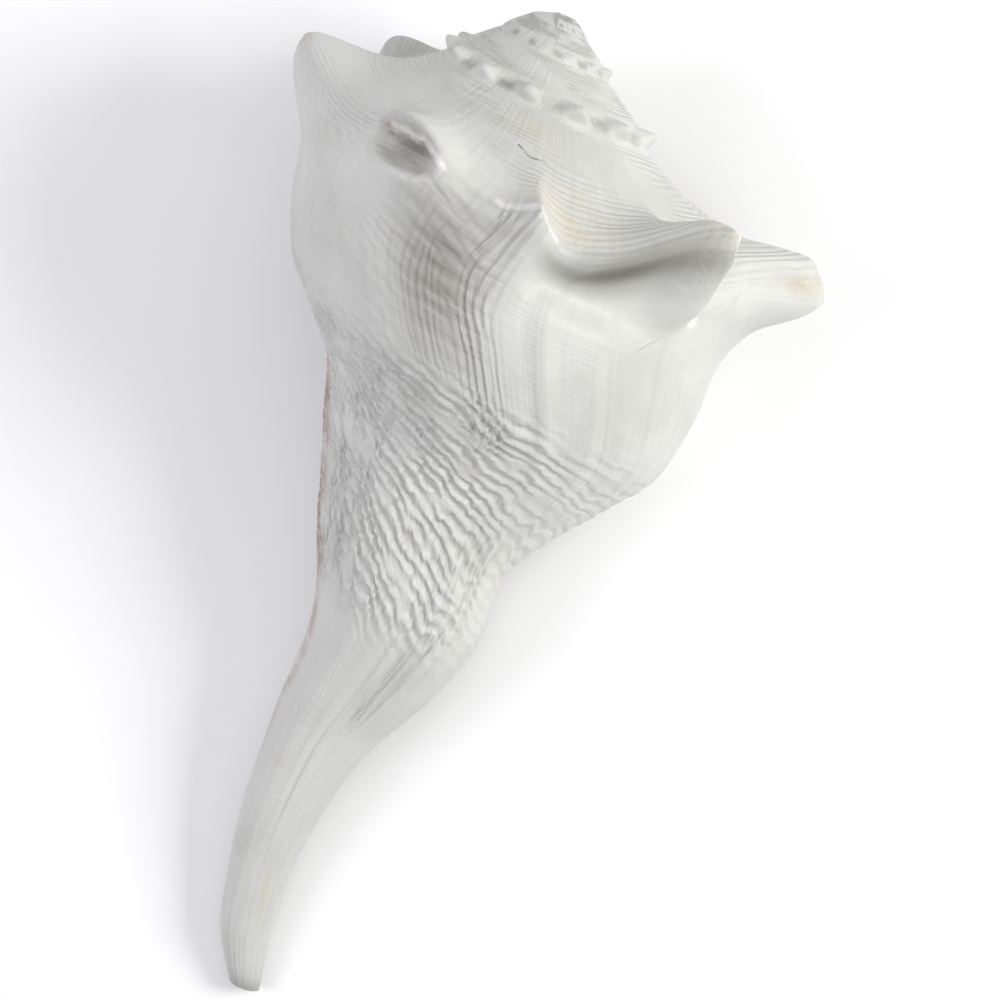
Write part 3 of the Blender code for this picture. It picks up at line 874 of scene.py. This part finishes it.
def knob_pits(tree, turn, place, knobbed):
    """Be 1 in the pits between the spire's knobs."""
    pit = calc(tree, "MULTIPLY_ADD", turn, 2 * math.pi * KNOBS_PER_TURN,
               math.radians(LIP_ANGLE * KNOBS_PER_TURN))
    pit = smooth_between(tree, calc(tree, "COSINE", pit), 0.3, -1.0)
    pit = calc(tree, "MULTIPLY", pit, window(tree, place, 0.137, 0.141, 0.028))
    return calc(tree, "MULTIPLY", pit, knobbed)


def crack_lines(tree, turn, stirred, where):
    """Return the two cracks, broken up along their length."""
    split_line = crack(tree, turn, stirred, RAMP_CRACK, 0.30)
    hair_line = crack(tree, turn, stirred, SPINE_CRACK, 0.20)
    cracks = calc(tree, "MAXIMUM", split_line, calc(tree, "MULTIPLY", hair_line, 0.2))
    broken = noise(tree, where, 150.0, 2.0)
    return calc(tree, "MULTIPLY", cracks, smooth_between(tree, broken, 0.38, 0.58))


def relief_height(tree, marks, turn, place, where, outside):
    """Add up the fine relief in millimetres; the inside keeps little of it."""
    height = 0.0
    for name, millimetres in BUMP_HEIGHTS:
        height = calc(tree, "MULTIPLY_ADD", marks[name], millimetres, height)
    height = calc(tree, "MULTIPLY", height, calc(tree, "MULTIPLY_ADD", outside, 0.85, 0.15))
    grain = noise(tree, where, 700.0, 3.0, 0.6)
    height = calc(tree, "MULTIPLY_ADD", grain, GRAIN_HEIGHT, height)
    crumbs = noise(tree, where, 380.0, 3.0, 0.65)
    broken_off = 0.0
    for middle, half in BREAKS:
        there = spot(tree, turn, place, middle, half, 0.5)
        broken_off = calc(tree, "MAXIMUM", broken_off, there)
    crumbs = calc(tree, "MULTIPLY", crumbs, broken_off)
    return calc(tree, "MULTIPLY_ADD", crumbs, CRUMB_HEIGHT, height)


def stained_and_shaded_white(tree, turn, place, age, where, drift, pit, stirred):
    """Return chalk white with its stains, painted shade in the hollows and knob pits, and whiter
    broken edges that partly carry a painted highlight.
    """
    cloud = noise(tree, where, 28.0, 4.0, 0.6)
    colour = blend(tree, smooth_between(tree, cloud, 0.35, 0.70), CHALK, CHALK_SHADE)
    ragged = noise(tree, where, 180.0, 4.0, 0.7)
    ragged = smooth_between(tree, ragged, 0.32, 0.62)
    for middle, half, strength, tint in SPOTS:
        there = calc(tree, "MULTIPLY", spot(tree, turn, place, middle, half), ragged)
        there = calc(tree, "MULTIPLY", there, strength)
        colour = blend(tree, there, colour, tint)
    # Painted shade in the hollows, striped by the bands
    stirring = calc(tree, "MULTIPLY", drift, 6.0)
    band = calc(tree, "MULTIPLY_ADD", place, 2 * math.pi * BANDS, stirring)
    band = calc(tree, "MULTIPLY_ADD", calc(tree, "SINE", band), 0.14, 0.86)
    for middle, half, strength in PAINTED_SHADE_PATCHES:
        there = calc(tree, "MULTIPLY", spot(tree, age, place, middle, half, 0.0), strength)
        there = calc(tree, "MULTIPLY", there, band)
        colour = blend(tree, there, colour, PAINTED_SHADE_GREY)
    stain = noise(tree, stretched(tree, turn, place, 9.0, 16.0, 9.0), 1.0, 4.0, 0.65)
    stain = calc(tree, "MULTIPLY", smooth_between(tree, stain, 0.58, 0.80), 0.35)
    colour = blend(tree, stain, colour, STAIN)
    # Painted shade in the pits between the spire's knobs
    pit = calc(tree, "MULTIPLY", pit, calc(tree, "MULTIPLY", ragged, 0.50))
    colour = blend(tree, pit, colour, PAINTED_SHADE_GREY)
    # Whiter broken edges: fresh breaks, and partly painted highlight along the rims that face the
    # light
    for points, width in BREAK_AND_HIGHLIGHT_EDGES:
        edge = crack(tree, turn, stirred, points, width)
        colour = blend(tree, calc(tree, "MULTIPLY", edge, 0.85), colour, BREAK_AND_HIGHLIGHT_WHITE)
    return colour


def shell_material():
    """Bleached aragonite, chalky outside and satin inside."""
    material = bpy.data.materials.new("bleached_shell")
    material.use_nodes = True
    tree = material.node_tree
    shader = tree.nodes["Principled BSDF"]
    coil = put(tree, "ShaderNodeUVMap", uv_map="whorl").outputs[0]
    split = put(tree, "ShaderNodeSeparateXYZ", {0: coil})
    turn, place = split.outputs[0], split.outputs[1]
    where = put(tree, "ShaderNodeTexCoord").outputs["Object"]
    inside = put(tree, "ShaderNodeAttribute", attribute_name="inside").outputs["Fac"]
    outside = calc(tree, "SUBTRACT", 1.0, inside)

    # What the surface carries
    age = growth_turn(tree, turn, place)
    drift = noise(tree, stretched(tree, turn, place, 7.0, 30.0), 1.0, 2.0)
    knobbed = calc(tree, "MULTIPLY", window(tree, place, 0.105, 0.160, 0.02),
                   smooth_between(tree, turn, KNOB_START, KNOB_START - KNOB_FADE))
    stir = calc(tree, "SUBTRACT", noise(tree, where, 260.0, 2.0), 0.5)
    stirred = calc(tree, "MULTIPLY_ADD", stir, 0.008, place)
    marks = {
        "thread": fine_threads(tree, turn, place, drift, knobbed),
        "line": noise(tree, stretched(tree, age, place, 190.0, 5.0, 1.0), 1.0, 2.0, 0.5),
        "cord": cord_field(tree, turn, place, CORD_COUNT, CORD_SLANT),
        "fold": fold_field(tree, turn, place),
        "crack": crack_lines(tree, turn, stirred, where),
    }
    height = relief_height(tree, marks, turn, place, where, outside)
    bump = put(tree, "ShaderNodeBump", {"Strength": 1.0, "Distance": MM, "Height": height})

    # Colour: stained white, greyer with painted shade in the lines' low parts and grey along
    # cracks, warm inside
    pit = knob_pits(tree, turn, place, knobbed)
    colour = stained_and_shaded_white(tree, turn, place, age, where, drift, pit, stirred)
    # Painted shade in the low parts of threads, cords, folds and lines, and grey along the cracks
    groove_shade_and_cracks = 0.0
    for name, start, end, strength in GROOVE_SHADE_LINES:
        low = calc(tree, "MULTIPLY", smooth_between(tree, marks[name], start, end), strength)
        groove_shade_and_cracks = calc(tree, "MAXIMUM", groove_shade_and_cracks, low)
    groove_shade_and_cracks = calc(tree, "MAXIMUM", groove_shade_and_cracks, calc(tree, "MULTIPLY", marks["crack"], CRACK_GREY))
    colour = blend(tree, calc(tree, "MULTIPLY", groove_shade_and_cracks, outside), colour, GROOVE_SHADE_AND_CRACK_GREY)
    colour = blend(tree, inside, colour, INSIDE)
    tree.links.new(colour, shader.inputs["Base Color"])
    tree.links.new(bump.outputs[0], shader.inputs["Normal"])
    rough = calc(tree, "MULTIPLY_ADD", inside, GLAZED - CHALKY, CHALKY)
    tree.links.new(rough, shader.inputs["Roughness"])
    return material


bleached = shell_material()
print("material", bleached.name, "with", len(bleached.node_tree.nodes), "nodes")

# %% [markdown]
# ## Laid down as it rests
# The plain solid was laid on its opening before. The same coarse net says where it lies, and the
# fine mesh is moved there too, so that both share one frame.

# %% Grow the shell and lay it down
coarse = build_skin(SOLID_STEPS, solid_rows(SOLID_RAMP, SOLID_BODY), SOLID_RAMP + 1)
placing = rest_matrix(skin_points(coarse))
mesh = grow(net, whorl_rule, bleached)
mesh.transform(placing)
mesh.validate()
shell = bpy.data.objects.new("shell_skin", mesh)
bpy.context.scene.collection.objects.link(shell)
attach(shell, "root")
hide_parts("shell")
print("shell:", sum(len(p.vertices) - 2 for p in mesh.polygons), "triangles")

# %% [markdown]
# ## Floor, light and camera
# The camera looks down on the back of the shell with a long lens, its apex leaning a little
# towards us. A broad soft light from the upper right models the ramps, a weak cool one fills
# the left side, and a pale floor carries the shadow.

# %% Stage
VIEW_TILT = 12.0         # degrees that the apex leans towards the camera
VIEW_ROLL = 19.77        # degrees that the axis leans in the picture
VIEW_DISTANCE = 700.0
PICTURE_WIDTH = 200.0    # width of the picture at the apex
VIEW_CENTRE_SIDE = 21.72    # where the picture's middle lies beside and below the apex
VIEW_CENTRE_RISE = -95.91

# Lights: name, direction in the picture's frame, distance and size in metres, watts, colour
LIGHTS = (
    ("key", (0.78, 0.02, 0.62), 0.9, 0.36, 5.8, (1.0, 0.995, 0.97)),
    ("fill", (-0.75, 0.02, 0.65), 1.1, 0.6, 4.9, (0.95, 0.93, 1.0)),
    ("top", (0.2, 0.25, 1.0), 1.3, 0.9, 2.6, (1.0, 1.0, 1.0)),
)
MIDDLE = Vector((0.0, 0.0, 0.04))    # what the lights face
SKY, SKY_STRENGTH = (0.95, 0.96, 1.0, 1.0), 0.38
FLOOR_REACH = 3.0


def make_camera():
    """Stand the camera in the shell's own directions, then lay it down with the shell."""
    tilt, roll = math.radians(VIEW_TILT), math.radians(VIEW_ROLL)
    side = Vector((1.0, 0.0, 0.0))
    rise = Vector((0.0, math.sin(tilt), math.cos(tilt)))
    ahead = Vector((0.0, math.cos(tilt), -math.sin(tilt)))
    right = side * math.cos(roll) + rise * math.sin(roll)
    up = rise * math.cos(roll) - side * math.sin(roll)
    place = side * VIEW_CENTRE_SIDE + rise * VIEW_CENTRE_RISE - ahead * VIEW_DISTANCE
    turn = Matrix((right, up, -ahead)).transposed().to_4x4()
    spot = Matrix.Translation(place) @ turn
    data = bpy.data.cameras.new("camera")
    data.sensor_width = 36.0
    data.lens = 36.0 * VIEW_DISTANCE / PICTURE_WIDTH
    data.clip_start, data.clip_end = 0.01, 10.0
    camera = bpy.data.objects.new("camera", data)
    moved = placing @ spot
    camera.matrix_world = Matrix.LocRotScale(moved.to_translation(), moved.to_quaternion(), None)
    bpy.context.scene.collection.objects.link(camera)
    bpy.context.scene.camera = camera
    return camera


def area_light(name, direction, distance, size, power, colour):
    """Hang a square light that faces the shell from a direction given in the picture's frame."""
    data = bpy.data.lights.new(name, "AREA")
    data.size, data.energy, data.color = size, power, colour
    light = bpy.data.objects.new(name, data)
    frame_of_view = camera.matrix_world.to_3x3()
    toward = (frame_of_view @ Vector(direction)).normalized()
    light.location = MIDDLE + toward * distance
    light.rotation_mode = "QUATERNION"
    light.rotation_quaternion = toward.to_track_quat("Z", "Y")
    bpy.context.scene.collection.objects.link(light)
    return light


camera = make_camera()
lights = [area_light(*row) for row in LIGHTS]

world = bpy.data.worlds.new("studio")
world.use_nodes = True
world.node_tree.nodes["Background"].inputs[0].default_value = SKY
world.node_tree.nodes["Background"].inputs[1].default_value = SKY_STRENGTH
bpy.context.scene.world = world
bpy.context.scene.view_settings.view_transform = "Standard"

floor_mesh = bpy.data.meshes.new("floor")
signs = ((-1, -1), (1, -1), (1, 1), (-1, 1))
corners = [(x * FLOOR_REACH, y * FLOOR_REACH, 0.0) for x, y in signs]
floor_mesh.from_pydata(corners, [], [(0, 1, 2, 3)])
floor = bpy.data.objects.new("floor", floor_mesh)
bpy.context.scene.collection.objects.link(floor)
paper = bpy.data.materials.new("pale_paper")
paper.use_nodes = True
paper.node_tree.nodes["Principled BSDF"].inputs["Base Color"].default_value = srgb("#fafafa")
paper.node_tree.nodes["Principled BSDF"].inputs["Roughness"].default_value = 0.9
floor_mesh.materials.append(paper)
print("camera at", [round(c, 3) for c in camera.location])
